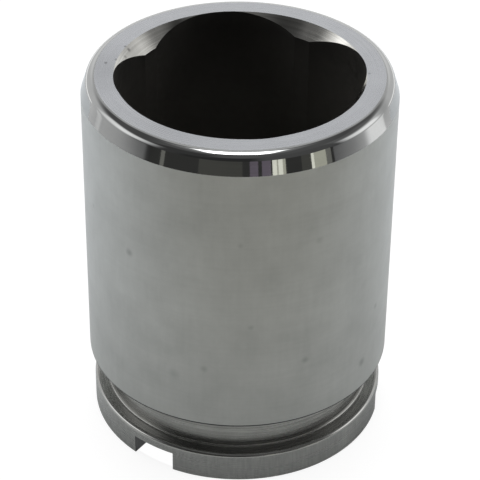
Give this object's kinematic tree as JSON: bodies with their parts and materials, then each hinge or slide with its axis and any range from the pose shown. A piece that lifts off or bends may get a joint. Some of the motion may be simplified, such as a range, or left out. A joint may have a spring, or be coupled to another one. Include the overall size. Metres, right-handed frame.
{
  "type": "brake caliper piston",
  "caption": "Cup-shaped steel piston with a ground chrome body, a lobed cavity behind a conical mouth, a boot groove and a notched flange on the closed end.",
  "frame": {"origin": "centre of the closed end, in the plane of the ring that pushes on the brake pad", "axes": "+Z along the piston's axis towards its open end, +X and +Y across it; one rib of the cavity stands at 55.6 degrees from +X towards +Y, and one notch of the flange lies opposite it"},
  "size_m": [0.043, 0.043, 0.054],
  "materials": {
    "chromed_steel": "satin ground chrome, turned rim, forged dark cavity"
  },
  "bodies": {
    "root": {"piston": "chromed_steel"}
  },
  "joints": []
}
